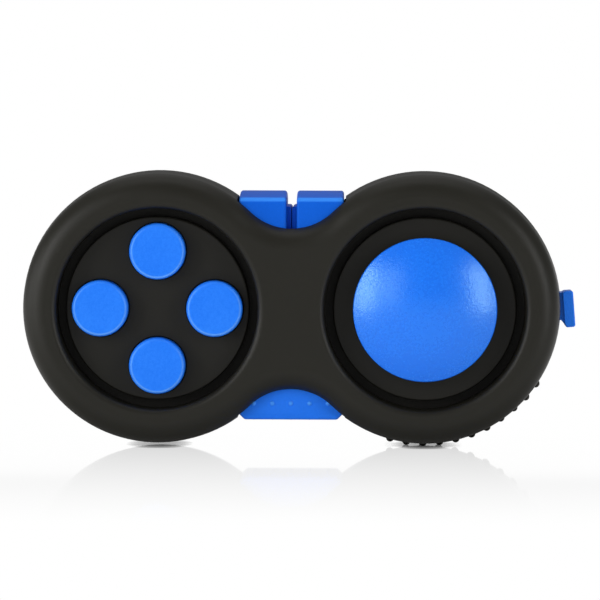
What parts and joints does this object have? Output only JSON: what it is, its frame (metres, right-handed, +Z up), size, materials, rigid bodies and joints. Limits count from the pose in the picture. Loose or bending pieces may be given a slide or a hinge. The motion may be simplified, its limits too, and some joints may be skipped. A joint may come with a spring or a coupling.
{
  "type": "fidget pad",
  "caption": "Two-lobed hand-held fidget pad with push buttons, a domed joystick, shoulder keys, a flip toggle, a grip pad and a spinning dial behind.",
  "frame": {"origin": "centre of the flat rear face, midway between the two lobes", "axes": "+X along the pad towards the toggle, +Y out of the rear face so the buttons and joystick face -Y, +Z up towards the two keys"},
  "size_m": [0.0822, 0.0247, 0.0408],
  "materials": {
    "casing_black": "satin soft-touch moulded plastic",
    "deck_black": "fine matt moulded plastic",
    "blue_plastic": "satin moulded plastic",
    "blue_grained": "finely grained moulded plastic",
    "blue_rubber": "soft moulded rubber",
    "clear_rubber": "translucent silicone rubber",
    "inner_plastic": "plain moulded plastic",
    "steel": "plated steel",
    "spring_steel": "spring wire"
  },
  "bodies": {
    "casing": {"front_shell": "casing_black", "rear_shell": "casing_black", "casing_screws": "steel", "button_deck": "deck_black", "dome_membrane": "clear_rubber", "backing_board": "inner_plastic", "deck_screws": "steel", "joystick_deck": "deck_black", "joystick_base": "inner_plastic", "joystick_spring": "spring_steel", "left_key_spring": "spring_steel", "right_key_spring": "spring_steel", "grip_pad": "blue_rubber", "toggle_pin": "steel", "toggle_leaf": "spring_steel", "worry_pad": "blue_plastic"},
    "button_top": {"button_top": "blue_plastic"},
    "button_bottom": {"button_bottom": "blue_plastic"},
    "button_left": {"button_left": "blue_plastic"},
    "button_right": {"button_right": "blue_plastic"},
    "gimbal": {"gimbal_ring": "inner_plastic"},
    "joystick": {"joystick_stem": "inner_plastic", "stick_pin": "steel", "joystick_cap": "blue_grained"},
    "left_key": {"left_key": "blue_plastic"},
    "right_key": {"right_key": "blue_plastic"},
    "toggle": {"toggle": "blue_plastic"},
    "dial": {"dial": "blue_plastic", "dial_washer": "steel", "dial_screw": "steel"}
  },
  "joints": [
    {"name": "button_top_press", "type": "slide", "parent": "casing", "child": "button_top", "axis": [0, 1, 0], "range_m": [0, 0.0012], "stiffness_N_per_m": 900, "springref_m": -0.0006, "deforming": ["dome_membrane"]},
    {"name": "button_bottom_press", "type": "slide", "parent": "casing", "child": "button_bottom", "axis": [0, 1, 0], "range_m": [0, 0.0012], "stiffness_N_per_m": 900, "springref_m": -0.0006, "deforming": ["dome_membrane"]},
    {"name": "button_left_press", "type": "slide", "parent": "casing", "child": "button_left", "axis": [0, 1, 0], "range_m": [0, 0.0012], "stiffness_N_per_m": 900, "springref_m": -0.0006, "deforming": ["dome_membrane"]},
    {"name": "button_right_press", "type": "slide", "parent": "casing", "child": "button_right", "axis": [0, 1, 0], "range_m": [0, 0.0012], "stiffness_N_per_m": 900, "springref_m": -0.0006, "deforming": ["dome_membrane"]},
    {"name": "joystick_tilt_up_down", "type": "hinge", "parent": "casing", "child": "gimbal", "pos_m": [0.01975, -0.012, 0], "axis": [1, 0, 0], "range_deg": [-8, 8], "stiffness_Nm_per_rad": 0.03, "deforming": ["joystick_spring"]},
    {"name": "joystick_tilt_side", "type": "hinge", "parent": "gimbal", "child": "joystick", "pos_m": [0.01975, -0.012, 0], "axis": [0, 0, 1], "range_deg": [-8, 8], "stiffness_Nm_per_rad": 0.03, "deforming": ["joystick_spring"]},
    {"name": "left_key_press", "type": "slide", "parent": "casing", "child": "left_key", "axis": [0, 0, -1], "range_m": [0, 0.0015], "stiffness_N_per_m": 600, "springref_m": -0.0008, "deforming": ["left_key_spring"]},
    {"name": "right_key_press", "type": "slide", "parent": "casing", "child": "right_key", "axis": [0, 0, -1], "range_m": [0, 0.0015], "stiffness_N_per_m": 600, "springref_m": -0.0008, "deforming": ["right_key_spring"]},
    {"name": "toggle_flip", "type": "hinge", "parent": "casing", "child": "toggle", "pos_m": [0.0369, -0.011, -0.00048], "axis": [0, 1, 0], "range_deg": [0, 11], "deforming": ["toggle_leaf"]},
    {"name": "dial_spin", "type": "hinge", "parent": "casing", "child": "dial", "pos_m": [-0.01975, 0, 0], "axis": [0, 1, 0], "continuous": true}
  ]
}
